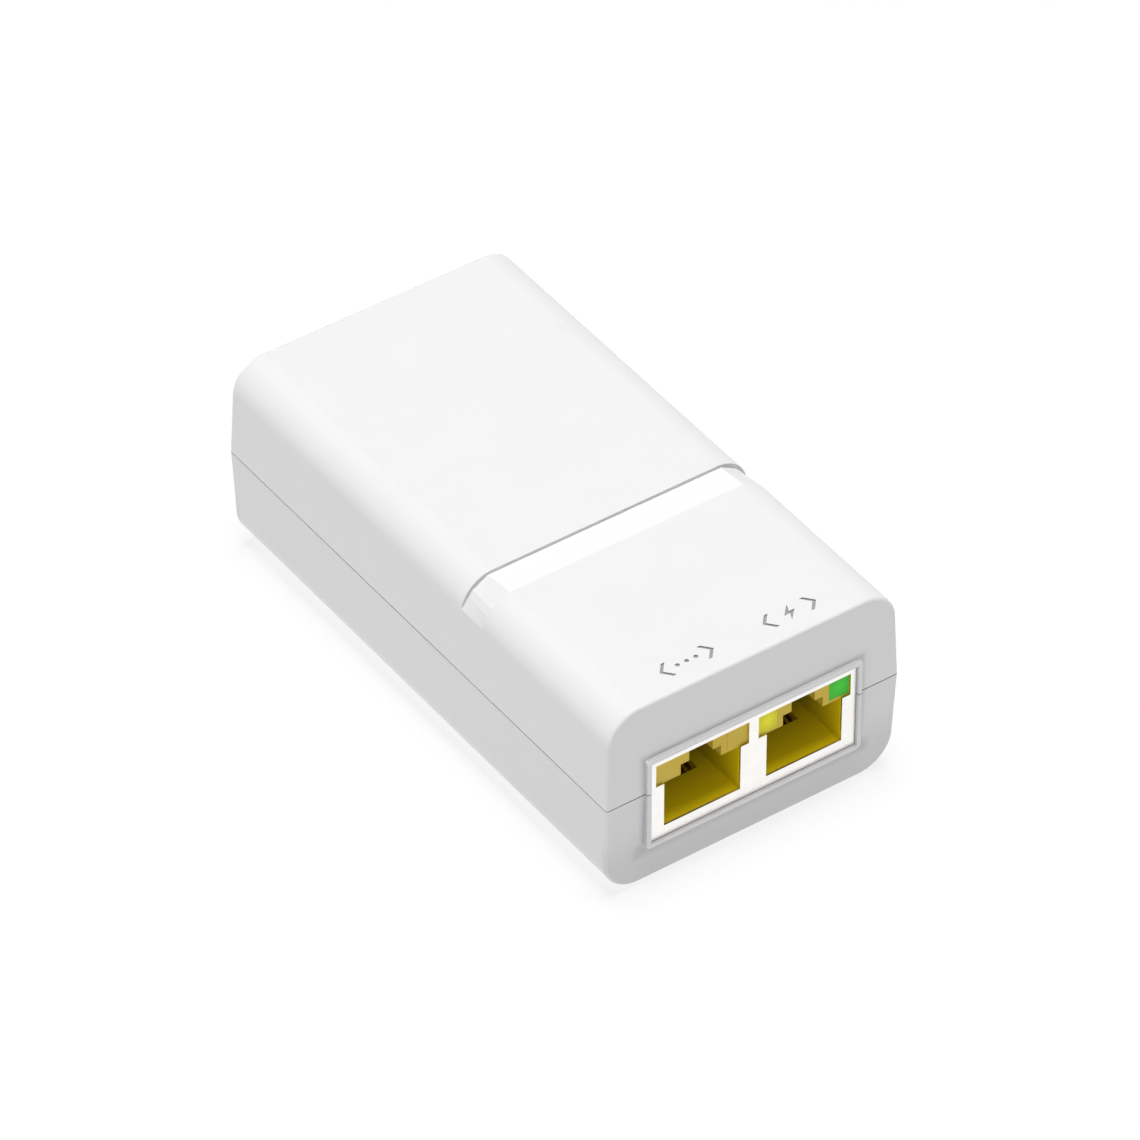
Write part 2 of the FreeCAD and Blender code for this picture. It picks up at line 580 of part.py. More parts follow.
def port_insert(port):
    """The moulded socket of one port, open to the front, with a slot for its contact wires."""
    middle = PORTS[port]
    body = new_body(f"{port}_port_insert")
    rear = f"{FRONT} + jack_depth"
    block = centred(middle, "insert_width", "jack_floor_z + shell_sheet", "jack_top_z - shell_sheet")
    pad(body, "block", "XZ", [block], INSERT_FRONT, rear)
    cavity = centred(middle, "port_width", "port_floor_z", "holder_floor_z")
    pocket(body, "cavity", "XZ", [cavity], f"{INSERT_FRONT} - 1", f"{INSERT_FRONT} + port_depth")
    for name, width, low, high in (
            ("latch_way", "notch_wide", "holder_floor_z - 0.1", "holder_step_z"),
            ("latch_slot", "notch_narrow", "holder_step_z - 0.1", "holder_top_z")):
        way = centred(middle, width, low, high)
        pocket(body, name, "XZ", [way], f"{INSERT_FRONT} - 1",
               f"{INSERT_FRONT} + port_depth - latch_short")
    seats = [holder_outline(middle, side) for side in (-1, 1)]
    pocket(body, "lamp_seats", "XZ", seats, f"{INSERT_FRONT} - 1", f"{INSERT_FRONT} + holder_depth")
    slot = centred(middle, "slot_width", "slot_floor_z", "port_floor_z + 0.1")
    pocket(body, "wire_slot", "XZ", [slot], f"{INSERT_FRONT} + hinge_back - slot_margin",
           f"{INSERT_FRONT} + tail_end_back + pin_slot_half")
    way = centred(middle, "slot_width", f"{INSERT_FRONT} + tail_end_back - pin_slot_half",
                  f"{INSERT_FRONT} + tail_end_back + pin_slot_half")
    pocket(body, "pin_way", "XY", [way], "jack_floor_z - 1", "slot_floor_z + 0.1")
    return finish(body)


def lamp_outline(middle, side):
    inner = f"{middle} + {side} * lamp_inner_x"
    outer = f"{middle} + {side} * lamp_outer_x"
    return rectangle(inner, outer, "lamp_floor_z", "lamp_top_z")


def lamp_holders(port):
    """The two stepped blocks beside the latch slot, each with a window for its lamp."""
    members = []
    for name, side in (("left", -1), ("right", 1)):
        body = new_body(f"{port}_holder_{name}")
        pad(body, "block", "XZ", [holder_outline(PORTS[port], side)], INSERT_FRONT,
            f"{INSERT_FRONT} + holder_depth")
        pocket(body, "window", "XZ", [lamp_outline(PORTS[port], side)], f"{INSERT_FRONT} - 1",
               f"{INSERT_FRONT} + holder_depth + 1")
        members.append(body)
    return finish(group(f"{port}_lamp_holders", members))


def lamp(port, name, side):
    body = new_body(f"{port}_{name}_lamp")
    pad(body, "lens", "XZ", [lamp_outline(PORTS[port], side)], f"{INSERT_FRONT} - lamp_proud",
        f"{INSERT_FRONT} + holder_depth")
    return finish(body)


HINGE_Y = f"({INSERT_FRONT} + hinge_back)"


def wire_row(label, port, outlines):
    """Eight equal flat wires side by side, made from the side views of one wire's parts."""
    body = new_body(label)
    body.AllowCompound = True
    start = f"{PORTS[port]} - 3.5*wire_pitch - wire_width/2"
    pieces = [pad(body, f"wire_{number}", "YZ", [outline], start, f"{start} + wire_width")
              for number, outline in enumerate(outlines, start=1)]
    row = body.newObject("PartDesign::LinearPattern", "row")
    row.Originals = pieces
    row.Direction = (origin_feature(body, "X_Axis"), [""])
    row.setExpression("Length", bound("7*wire_pitch"))
    row.Occurrences = 8
    body.Tip = row
    doc.recompute()
    return finish(body)


def contact_springs(port):
    """The sloping halves of the wires, whose round front ends turn on the hinge line."""
    half = "wire_thick/2"

    def at(reach, lift):
        return (f"{HINGE_Y} + ({reach})*cos(wire_angle) - ({lift})*sin(wire_angle)",
                f"hinge_z + ({reach})*sin(wire_angle) + ({lift})*cos(wire_angle)")
    tip_y, tip_z = at("wire_length", f"-{half}")
    knee = f"{tip_y} + wire_knee", f"{tip_z} - wire_knee_drop"
    strip = [at("0", f"-{half}"), at("wire_length", f"-{half}"), knee,
             (knee[0], f"{knee[1]} + wire_thick"), at("wire_length", half), at("0", half)]
    return wire_row(f"{port}_contact_springs", port, [strip, (HINGE_Y, "hinge_z", "wire_thick")])


def contact_tails(port):
    """The fixed halves of the wires, from just under the hinge back to the board."""
    front, back = f"{HINGE_Y} - wire_thick/2", f"{HINGE_Y} + wire_thick/2"
    bend_z = "hinge_z - wire_thick/2 - clearance"
    end = f"({INSERT_FRONT} + tail_end_back)"
    outline = [(front, "tail_z"), (f"{end} - wire_thick", "tail_z"),
               (f"{end} - wire_thick", BOARD_TOP), (end, BOARD_TOP), (end, "tail_z + wire_thick"),
               (back, "tail_z + wire_thick"), (back, bend_z), (front, bend_z)]
    return wire_row(f"{port}_contact_tails", port, [outline])


# --- mains inlet ---

INLET_Z = "((inlet_floor_z + inlet_top_z)/2)"
PINS = {"neutral_pin": ("(-pin_pitch/2)", "(-pin_offset)"), "earth_pin": ("0", "pin_offset"),
        "line_pin": ("(pin_pitch/2)", "(-pin_offset)")}


def pin_outline(name, grow):
    middle, lift = PINS[name]
    half = f"(pin_high/2 + {grow})"
    return centred(middle, f"pin_thick + 2*{grow}", f"{INLET_Z} + {lift} - {half}",
                   f"{INLET_Z} + {lift} + {half}")


def mains_inlet():
    body = new_body("mains_inlet")
    block = centred("0", "inlet_width", "inlet_floor_z - opening_gap", "inlet_top_z")
    pad(body, "block", "XZ", [block], REAR, f"{REAR} - inlet_depth")
    half, rise = "well_width/2", "well_high/2"
    well = [(f"-{half}", f"{INLET_Z} - {rise}"), (half, f"{INLET_Z} - {rise}"),
            (half, f"{INLET_Z} + {rise} - well_bevel"),
            (f"{half} - well_bevel", f"{INLET_Z} + {rise}"),
            (f"-{half} + well_bevel", f"{INLET_Z} + {rise}"),
            (f"-{half}", f"{INLET_Z} + {rise} - well_bevel")]
    pocket(body, "well", "XZ", [well], f"{REAR} + 1", f"{REAR} - well_depth")
    holes = [pin_outline(name, "pin_play") for name in PINS]
    pocket(body, "pin_holes", "XZ", holes, f"{REAR} - well_depth + 1", f"{REAR} - inlet_depth - 1")
    return finish(body)


def inlet_pin(name):
    """A flat pin with a bevelled tip, and a leg that stands on the board behind the inlet."""
    middle, lift = PINS[name]
    body = new_body(name)
    tip_y = f"{REAR} - pin_tip_in"
    tail_y = f"{REAR} - inlet_depth - pin_tail"
    pad(body, "blade", "XZ", [pin_outline(name, "0")], tail_y, tip_y)
    far = value_of(tip_y)
    dress(body, "Chamfer", "tip", "pin_bevel", lambda edge: abs(edge_middle(edge).y - far) < 0.01)
    leg = centred(middle, "pin_leg", tail_y, f"{tail_y} + pin_leg")
    pad(body, "leg", "XY", [leg], BOARD_TOP, f"{INLET_Z} + {lift}")
    return finish(body)


# --- board and the parts on it ---

def main_board():
    body = new_body("main_board")
    outline = centred("0", "board_width", "board_front", "board_rear")
    pad(body, "laminate", "XY", [outline], BOARD_BOTTOM, BOARD_TOP)
    holes = [(x, y, "screw_hole") for x, y in post_places()]
    pocket(body, "screw_holes", "XY", holes, f"{BOARD_BOTTOM} - 1", f"{BOARD_TOP} + 1")
    for side in (-1, 1):
        edge = f"{side} * (board_width/2 + 1)"
        inner = f"{side} * (boss_x - board_notch/2)"
        notches = [rectangle(inner, edge, f"{end}*boss_y - board_notch/2",
                             f"{end}*boss_y + board_notch/2") for end in (-1, 1)]
        pocket(body, "notches", "XY", notches, f"{BOARD_BOTTOM} - 1", f"{BOARD_TOP} + 1")
    return finish(body)


def insulating_sheet():
    body = new_body("insulating_sheet")
    outline = centred("0", "2*post_x - post_width - sheet_margin", "board_front + sheet_margin",
                      "board_rear")
    pad(body, "film", "XY", [outline], FLOOR, f"{FLOOR} + sheet_thick")
    holes = [(x, y, "board_notch") for x, y in boss_places()]
    pocket(body, "holes", "XY", holes, f"{FLOOR} - 1", f"{FLOOR} + 1")
    return finish(body)


def board_block(label):
    body = new_body(label)
    outline = rectangle(f"{label}_mid_x - {label}_width/2", f"{label}_mid_x + {label}_width/2",
                        f"{label}_mid_y - {label}_depth/2", f"{label}_mid_y + {label}_depth/2")
    top = f"{BOARD_TOP} + {label}_high"
    pad(body, "block", "XY", [outline], BOARD_TOP, top)
    far = value_of(top)
    dress(body, "Chamfer", "top_edges", "block_bevel",
          lambda edge: abs(edge_middle(edge).z - far) < 0.01)
    return finish(body)


def board_can(label):
    """An upright capacitor with a rolled groove near its foot and a sunken top."""
    body = new_body(label)
    radius, high = f"{label}_diameter/2", f"{label}_high"
    sunk = f"{high} - sunk_depth"
    outline = [("0", "0"), (radius, "0"), (radius, "groove_z"),
               (f"{radius} - groove_half", "groove_z + groove_half"),
               (radius, "groove_z + 2*groove_half"), (radius, f"{high} - roll_drop"),
               (f"{radius} - roll_in", high), (f"{radius} - sunk_in", high),
               (f"{radius} - sunk_in", sunk), ("0", sunk)]
    spin(body, "can", outline, (f"{label}_mid_x", f"{label}_mid_y", BOARD_TOP))
    return finish(body)


def is_round(edge):
    return edge.Curve.TypeId == "Part::GeomCircle"


def lying_can(label):
    """A round part that lies on the board along Y, with rolled ends."""
    body = new_body(label)
    diameter, middle, half = f"{label}_diameter", f"{label}_mid_y", f"{label}_length/2"
    circle = (f"{label}_mid_x", f"{BOARD_TOP} + {diameter}/2", diameter)
    pad(body, "can", "XZ", [circle], f"{middle} - {half}", f"{middle} + {half}")
    dress(body, "Fillet", "rolled_ends", "roll_in", is_round)
    return finish(body)


def fuse():
    """A glass-bodied fuse that lies along X between two metal caps."""
    body = new_body("fuse")
    z = f"{BOARD_TOP} + fuse_cap_diameter/2"
    pad(body, "barrel", "YZ", [("fuse_y", z, "fuse_diameter")], "fuse_left", "fuse_right")
    cap = ("fuse_y", z, "fuse_cap_diameter")
    pad(body, "left_cap", "YZ", [cap], "fuse_left", "fuse_left + fuse_cap")
    pad(body, "right_cap", "YZ", [cap], "fuse_right - fuse_cap", "fuse_right")
    return finish(body)


def standing_disc(label):
    """A lacquered disc that stands on edge on two short legs."""
    body = new_body(label)
    x, y, diameter, thick = (f"{label}_{word}" for word in ("mid_x", "mid_y", "diameter", "thick"))
    z = f"{BOARD_TOP} + disc_lift + {diameter}/2"
    pad(body, "disc", "XZ", [(x, z, diameter)], f"{y} - {thick}/2", f"{y} + {thick}/2")
    dress(body, "Fillet", "soft_rim", f"{thick}*disc_soft", is_round)
    legs = [centred(f"{x} + {side}*{diameter}*disc_leg_reach", "disc_leg", f"{y} - disc_leg/2",
                    f"{y} + disc_leg/2") for side in (-1, 1)]
    pad(body, "legs", "XY", legs, BOARD_TOP, z)
    return finish(body)


def choke():
    """A common-mode choke: a flat ring core with a winding round each side of it."""
    core = new_body("choke_core")
    low, high = f"{BOARD_TOP} + choke_skin", f"{BOARD_TOP} + choke_skin + choke_high"
    ring = [("choke_x", "choke_y", "choke_outer"), ("choke_x", "choke_y", "choke_inner")]
    pad(core, "ring", "XY", ring, low, high)
    finish(core)
    windings = []
    for name, side in (("left", -1), ("right", 1)):
        body = new_body(f"choke_winding_{name}")
        wrap = [("choke_x", "choke_y", "choke_outer + 2*choke_skin"),
                ("choke_x", "choke_y", "choke_inner - 2*choke_skin")]
        pad(body, "wrap", "XY", wrap, BOARD_TOP, f"{high} + choke_skin")
        way = [("choke_x", "choke_y", "choke_outer + clearance"),
               ("choke_x", "choke_y", "choke_inner - clearance")]
        pocket(body, "core_way", "XY", way, f"{low} - clearance/2", f"{high} + clearance/2")
        away = rectangle(f"choke_x + {side}*choke_split", f"choke_x - {side}*choke_outer",
                         "choke_y - choke_outer", "choke_y + choke_outer")
        pocket(body, "split", "XY", [away], f"{BOARD_TOP} - 1", f"{high} + 2")
        windings.append(body)
    finish(group("choke_windings", windings))


def build_transformer():
    """The bobbin's two flanges on pin rails, and the taped windings outside them."""
    middle_x = "transformer_core_mid_x"
    flanges, windings = [], []
    for name, side in (("front", -1), ("rear", 1)):
        body = new_body(f"bobbin_{name}")
        start = f"transformer_core_mid_y + {side}*transformer_core_depth/2"
        flange = centred(middle_x, "flange_width", BOARD_TOP, f"{BOARD_TOP} + flange_high")
        pad(body, "flange", "XZ", [flange], start, f"{start} + {side}*flange_thick")
        rail = centred(middle_x, "flange_width", BOARD_TOP, f"{BOARD_TOP} + rail_high")
        pad(body, "pin_rail", "XZ", [rail], f"{start} + {side}*(flange_thick - 0.1)",
            f"{start} + {side}*rail_depth")
        flanges.append(body)
        body = new_body(f"winding_{name}")
        outer = f"{start} + {side}*flange_thick"
        coil = centred(middle_x, "coil_width", f"{BOARD_TOP} + rail_high", f"{BOARD_TOP} + coil_top")
        pad(body, "taped_turns", "XZ", [coil], outer, f"{outer} + {side}*coil_proud")
        dress(body, "Fillet", "soft_turns", "coil_soft", lambda edge: along(edge, "y"))
        windings.append(body)
    finish(group("transformer_bobbin", flanges))
    finish(group("transformer_winding", windings))


def lan_transformer():
    """A flat signal transformer under the board, below the jack."""
    body = new_body("lan_transformer")
    outline = centred("0", "signal_width", "signal_front", "signal_rear")
    pad(body, "case", "XY", [outline], f"{BOARD_BOTTOM} - signal_high", BOARD_BOTTOM)
    return finish(body)


top_cover()
bottom_cover()
screws("case_screws", boss_places(), "screw_head", "screw_head_high", "screw_length",
       "screw_seat_z", False)
rubber_feet()
rating_label()
jack_shell()
for port_name in PORTS:
    port_insert(port_name)
    lamp_holders(port_name)
    lamp(port_name, "left", -1)
    lamp(port_name, "right", 1)
    contact_springs(port_name)
    contact_tails(port_name)
mains_inlet()
for pin_name in PINS:
    inlet_pin(pin_name)
main_board()
insulating_sheet()
screws("board_screws", post_places(), "board_screw_head", "board_screw_head_high",
       "board_screw_length", BOARD_TOP, True)
for part_name in BOARD_BLOCKS:
    board_block(part_name)
for part_name in BOARD_CANS:
    board_can(part_name)
for part_name in LYING_CANS:
    lying_can(part_name)
for part_name in BOARD_DISCS:
    standing_disc(part_name)
fuse()
choke()
build_transformer()
lan_transformer()

# --- check every object, then write the pieces ---

doc.recompute()
for item in doc.Objects:
    if "Invalid" in item.State or "Error" in item.State:
        raise RuntimeError(f"{item.Label} failed: {item.State}")
os.makedirs("parts", exist_ok=True)
for item in finished:
    shape = item.Shape
    if shape.isNull() or not shape.isValid() or not shape.Solids:
        raise RuntimeError(f"{item.Label} has no valid solid")
    shape.exportStep(f"parts/{item.Label}.step")
    print(f"{item.Label}: {len(shape.Solids)} solid(s), {shape.Volume:.1f} mm3")
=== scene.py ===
import json
import math

import bpy
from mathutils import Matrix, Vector


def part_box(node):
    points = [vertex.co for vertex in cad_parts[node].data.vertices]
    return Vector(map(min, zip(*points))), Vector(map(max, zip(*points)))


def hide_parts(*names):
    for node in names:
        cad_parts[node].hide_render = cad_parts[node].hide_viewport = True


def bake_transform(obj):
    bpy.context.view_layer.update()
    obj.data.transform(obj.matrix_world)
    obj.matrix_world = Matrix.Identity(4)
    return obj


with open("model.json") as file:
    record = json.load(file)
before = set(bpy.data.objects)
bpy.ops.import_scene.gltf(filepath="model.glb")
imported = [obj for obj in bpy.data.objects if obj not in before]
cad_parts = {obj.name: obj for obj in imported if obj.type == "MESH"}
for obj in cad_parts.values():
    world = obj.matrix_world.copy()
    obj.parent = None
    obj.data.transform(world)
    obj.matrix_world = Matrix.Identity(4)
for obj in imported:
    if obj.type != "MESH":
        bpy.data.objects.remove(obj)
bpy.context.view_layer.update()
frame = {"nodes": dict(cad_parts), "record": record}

MM = 0.001
NOISE_ROUGHNESS = 0.55
nodes = frame["nodes"]
top_of_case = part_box("top_cover")[1].z
front_of_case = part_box("jack_shell")[0].y

# --- materials -------------------------------------------------------------------------------


class Recipe:
    """A material under construction, with short calls for the nodes that the looks share."""

    def __init__(self, name):
        self.material = bpy.data.materials.new(name)
        self.material.use_nodes = True
        self.tree = self.material.node_tree
        self.shader = self.tree.nodes["Principled BSDF"]
        coordinates = self.node("ShaderNodeTexCoord")
        self.place, self.normal = coordinates.outputs["Object"], coordinates.outputs["Normal"]

    def node(self, kind, **settings):
        made = self.tree.nodes.new(kind)
        for key, value in settings.items():
            setattr(made, key, value)
        return made

    def link(self, source, target):
        self.tree.links.new(source, target)

    def math(self, operation, first, second=0.0):
        made = self.node("ShaderNodeMath", operation=operation)
        for socket, value in zip(made.inputs, (first, second)):
            if isinstance(value, (int, float)):
                socket.default_value = value
            else:
                self.link(value, socket)
        return made.outputs[0]

    def axes(self, vector):
        split = self.node("ShaderNodeSeparateXYZ")
        self.link(vector, split.inputs[0])
        return tuple(split.outputs[axis] for axis in "XYZ")

    def ramp(self, value, start, end, low, high, smooth=True):
        """Low up to start, high past end and a fade between them."""
        fade = self.node("ShaderNodeMapRange")
        fade.interpolation_type = "SMOOTHSTEP" if smooth else "LINEAR"
        for socket, setting in (("From Min", start), ("From Max", end), ("To Min", low), ("To Max", high)):
            fade.inputs[socket].default_value = setting
        self.link(value, fade.inputs["Value"])
        return fade.outputs["Result"]

    def noise(self, size, detail=3.0, stretch=(1, 1, 1)):
        """Noise whose features are about size metres across, as a value from 0 to 1."""
        scale = self.node("ShaderNodeMapping")
        scale.inputs["Scale"].default_value = stretch
        self.link(self.place, scale.inputs["Vector"])
        noise = self.node("ShaderNodeTexNoise")
        noise.inputs["Scale"].default_value = 1 / size
        noise.inputs["Detail"].default_value = detail
        noise.inputs["Roughness"].default_value = NOISE_ROUGHNESS
        self.link(scale.outputs[0], noise.inputs["Vector"])
        return noise.outputs["Fac"]

    def between(self, value, low, high):
        """A value from 0 to 1, mapped to low and high."""
        return self.ramp(value, 0.3, 0.7, low, high, smooth=False)

    def mix(self, factor, first, second):
        """A colour from first, where factor is 0, to second, where it is 1."""
        mixer = self.node("ShaderNodeMix", data_type="RGBA")
        self.link(factor, mixer.inputs[0])
        for index, value in ((6, first), (7, second)):
            if isinstance(value, (tuple, list)):
                mixer.inputs[index].default_value = (*value[:3], 1.0)
            else:
                self.link(value, mixer.inputs[index])
        return mixer.outputs[2]

    def bump(self, height, depth):
        bump = self.node("ShaderNodeBump")
        bump.inputs["Distance"].default_value = depth
        bump.inputs["Strength"].default_value = 1.0
        self.link(height, bump.inputs["Height"])
        self.link(bump.outputs[0], self.shader.inputs["Normal"])

    def colour(self, source):
        self.link(source, self.shader.inputs["Base Color"])

    def roughness(self, source):
        self.link(source, self.shader.inputs["Roughness"])


def shade(colour, factor):
    return tuple(min(1.0, channel * factor) for channel in colour)


def moulded(name, colour, rough=0.45, grain=0.25 * MM, depth=0.004 * MM, drift=0.03, **extra):
    """Moulded plastic: fine spark-eroded grain, faint colour drift and uneven gloss."""
    made = Recipe(name)
    drifting = made.noise(9 * MM, detail=2.0)
    made.colour(made.mix(drifting, shade(colour, 1 - drift), shade(colour, 1 + drift)))
    made.roughness(made.between(made.noise(3 * MM), rough - 0.05, rough + 0.05))
    made.bump(made.noise(grain, detail=2.0), depth)
    for socket, value in extra.items():
        made.shader.inputs[socket.replace("_", " ")].default_value = value
    return made


def metal(name, colour, rough=0.3, brush=(1, 1, 1), depth=0.002 * MM):
    """Bare or plated metal with drawn or tumbled marks."""
    made = Recipe(name)
    marks = made.noise(0.12 * MM, detail=4.0, stretch=brush)
    made.colour(made.mix(made.noise(2 * MM), shade(colour, 0.93), shade(colour, 1.05)))
    made.roughness(made.between(marks, rough - 0.08, rough + 0.08))
    made.shader.inputs["Metallic"].default_value = 1.0
    made.bump(marks, depth)
    return made


WHITE = (0.86, 0.86, 0.865)
# Lighter white of the painted highlight on the ramp.
RAMP_HIGHLIGHT_WHITE = (0.945, 0.945, 0.948)
# Grey of the painted shade on the step wall.
STEP_SHADE_GREY = (0.3, 0.3, 0.31)
SYMBOL_GREY = (0.37, 0.37, 0.38)
# Dark grey that the painted shade round the rims mixes towards.
RIM_SHADE_GREY = (0.05, 0.05, 0.052)
MUSTARD = (0.62, 0.46, 0.004)
TAN = (0.475, 0.345, 0.042)

PORT_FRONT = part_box("lan_port_insert")[0].y
STEP_Y = front_of_case + 32.4 * MM
RAMP_LENGTH = 4.8 * MM
RAMP_HALF_WIDTH = 18.1 * MM
SYMBOL_ROW = (front_of_case + 2.0 * MM, front_of_case + 6.8 * MM)
SYMBOL_HALF_WIDTH = 14 * MM
SYMBOL_FLOOR = (top_of_case - 0.24 * MM, top_of_case - 0.08 * MM)

RIM_BORDER = 0.85 * MM
RIM_OVERLAP = 0.12 * MM
RIM_OUT, RIM_IN = 0.36 * MM, 1.3 * MM
LINE_FADE, LINE_SHADE = (-0.1 * MM, 1.1 * MM), 0.24
UNDER_FADE, UNDER_SHADE = (0, 3.2 * MM), 0.36
UNDER_START = (-2.4 * MM, 0.4 * MM)
LOW_FADE, LOW_SHADE = (-3 * MM, 5 * MM), 0.13


def inside(made, value, low, high):
    """1 where the value is between low and high, and 0 elsewhere."""
    above = made.math("GREATER_THAN", value, low)
    return made.math("MULTIPLY", above, made.math("LESS_THAN", value, high))


def rim_shade(made, x, y, z, opening, outward):
    """Shade where a raised rim meets the end face: a thin line, a wide one underneath and a low fade."""
    low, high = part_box(opening)
    beside = made.math("SUBTRACT", made.math("ABSOLUTE", x), high.x + RIM_BORDER)
    above = made.math("SUBTRACT", z, high.z + RIM_BORDER)
    below = made.math("SUBTRACT", low.z - RIM_BORDER, z)
    around = made.math("MAXIMUM", beside, made.math("MAXIMUM", above, below))
    line = made.ramp(around, *LINE_FADE, LINE_SHADE, 0.0)
    from_rim = made.math("MAXIMUM", beside, made.math("ABSOLUTE", below))
    under = made.math("MULTIPLY", made.ramp(from_rim, *UNDER_FADE, UNDER_SHADE, 0.0),
                      made.ramp(below, *UNDER_START, 0.0, 1.0))
    low_down = made.ramp(z, low.z + LOW_FADE[0], low.z + LOW_FADE[1], LOW_SHADE, 0.0)
    under = made.math("MAXIMUM", under, low_down)
    if outward < 0:
        on_end = inside(made, y, low.y - RIM_OUT, low.y + RIM_IN)
    else:
        on_end = inside(made, y, high.y - RIM_IN, high.y + RIM_OUT)
    on_end = made.math("MULTIPLY", on_end, made.math("GREATER_THAN", around, -RIM_OVERLAP))
    return made.math("MULTIPLY", made.math("MAXIMUM", line, under), on_end)


def case_white(name, brightness=1.0, is_top=False):
    """Satin white ABS with a fine spark-eroded texture, and painted shade round both rims and low down on
    the end faces.
    """
    made = Recipe(name)
    x, y, z = made.axes(made.place)
    white = made.mix(made.noise(14 * MM, detail=2.0), shade(WHITE, 0.99 * brightness),
                     shade(WHITE, 1.008 * brightness))
    rough = made.between(made.noise(5 * MM), 0.46, 0.56)
    if is_top:
        white, rough = top_marks(made, x, y, z, white, rough)
    for opening, outward in (("jack_shell", -1), ("mains_inlet", 1)):
        # Painted shade round each rim, on the end face and low down on it.
        white = made.mix(rim_shade(made, x, y, z, opening, outward), white, RIM_SHADE_GREY)
    made.colour(white)
    made.roughness(rough)
    made.shader.inputs["Specular IOR Level"].default_value = 0.35
    made.bump(made.noise(0.16 * MM, detail=3.0), 0.0035 * MM)
    return made


def top_marks(made, x, y, z, white, rough):
    """A glossier ramp with a painted highlight, painted shade on the step wall and grey-filled symbols."""
    across = made.math("ABSOLUTE", x)
    high_up = made.math("GREATER_THAN", z, top_of_case - 1 * MM)
    on_ramp = made.math("MULTIPLY", inside(made, y, STEP_Y - RAMP_LENGTH, STEP_Y), high_up)
    on_ramp = made.math("MULTIPLY", on_ramp, made.math("LESS_THAN", across, RAMP_HALF_WIDTH))
    # Painted highlight: the ramp is coloured lighter than the rest of the top.
    white = made.mix(on_ramp, white, RAMP_HIGHLIGHT_WHITE)
    rough = made.math("SUBTRACT", rough, made.math("MULTIPLY", on_ramp, 0.06))
    faces_front = made.math("LESS_THAN", made.axes(made.normal)[1], -0.7)
    on_step = made.math("MULTIPLY", inside(made, y, STEP_Y - 0.1 * MM, STEP_Y + 0.1 * MM), faces_front)
    # Painted shade on the wall of the step.
    white = made.mix(made.math("MULTIPLY", on_step, 0.35), white, STEP_SHADE_GREY)
    area = made.math("MULTIPLY", inside(made, y, *SYMBOL_ROW),
                     made.math("LESS_THAN", across, SYMBOL_HALF_WIDTH))
    symbols = made.math("MULTIPLY", inside(made, z, *SYMBOL_FLOOR), area)
    return made.mix(symbols, white, SYMBOL_GREY), rough


# How far in the painted shade of the ports fades in, and how dark it gets.
PORT_FADE, PORT_SHADE_DARKEST = 10 * MM, 0.8


def port_plastic(name):
    """Mustard plastic of the port inserts, with painted shade that darkens it the further in it is."""
    made = Recipe(name)
    # Painted shade: darker the deeper into the port.
    depth = made.ramp(made.axes(made.place)[1], PORT_FRONT, PORT_FRONT + PORT_FADE, 0.0, PORT_SHADE_DARKEST,
                      smooth=False)
    drifting = made.mix(made.noise(9 * MM, detail=2.0), shade(MUSTARD, 0.97), shade(MUSTARD, 1.05))
    made.colour(made.mix(depth, drifting, shade(MUSTARD, 0.03)))
    made.roughness(made.between(made.noise(3 * MM), 0.45, 0.55))
    made.shader.inputs["Specular IOR Level"].default_value = 0.1
    made.bump(made.noise(0.25 * MM, detail=2.0), 0.004 * MM)
    return made


LABEL_MARGIN, BORDER_WIDTH, RULE_WIDTH = 1.2 * MM, 0.3 * MM, 0.25 * MM
LABEL_INK = (0.09, 0.09, 0.1)


def label_foil(name):
    """Matt silver foil with a printed border and two rules, and no lettering."""
    made = Recipe(name)
    x, y, _ = made.axes(made.place)
    low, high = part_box("rating_label")
    middle_y, half_y = (low.y + high.y) / 2, (high.y - low.y) / 2
    from_side = made.math("SUBTRACT", high.x, made.math("ABSOLUTE", x))
    from_middle = made.math("ABSOLUTE", made.math("SUBTRACT", y, middle_y))
    from_end = made.math("SUBTRACT", half_y, from_middle)
    edge = made.math("MINIMUM", from_side, from_end)
    border = inside(made, edge, LABEL_MARGIN, LABEL_MARGIN + BORDER_WIDTH)
    rules = inside(made, from_middle, half_y / 3, half_y / 3 + RULE_WIDTH)
    rules = made.math("MULTIPLY", rules, made.math("GREATER_THAN", from_side, LABEL_MARGIN))
    foil = made.mix(made.noise(0.3 * MM, stretch=(1, 0.02, 1)), (0.66, 0.66, 0.655), (0.74, 0.74, 0.735))
    made.colour(made.mix(made.math("MAXIMUM", border, rules), foil, LABEL_INK))
    made.roughness(made.between(made.noise(3 * MM), 0.3, 0.4))
    made.bump(made.noise(1 * MM), 0.004 * MM)
    return made


GLOW_REACH = 2.4 * MM


def lens(name, centre, colour, glow, strength):
    """A small moulded lens, brighter towards the middle where the lamp sits behind it."""
    made = Recipe(name)
    offset = made.node("ShaderNodeVectorMath", operation="DISTANCE")
    made.link(made.place, offset.inputs[0])
    offset.inputs[1].default_value = centre
    near = made.math("SUBTRACT", 1.0, made.math("DIVIDE", offset.outputs["Value"], GLOW_REACH))
    near = made.math("MAXIMUM", near, 0.0)
    grain = made.math("MULTIPLY", made.noise(0.5 * MM), 0.25)
    # Besides the glow, the base colour is painted lighter near the lamp: painted light.
    made.colour(made.mix(made.math("ADD", near, grain), shade(colour, 0.75), shade(colour, 1.15)))
    made.link(made.mix(near, shade(glow, 0.35), glow), made.shader.inputs["Emission Color"])
    made.shader.inputs["Emission Strength"].default_value = strength
    made.roughness(made.between(made.noise(1.2 * MM), 0.28, 0.4))
    made.shader.inputs["Specular IOR Level"].default_value = 0.2
    made.bump(made.noise(0.3 * MM), 0.003 * MM)
    return made


def lens_centre(node):
    low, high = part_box(node)
    return Vector(((low.x + high.x) / 2, low.y, (low.z + high.z) / 2))


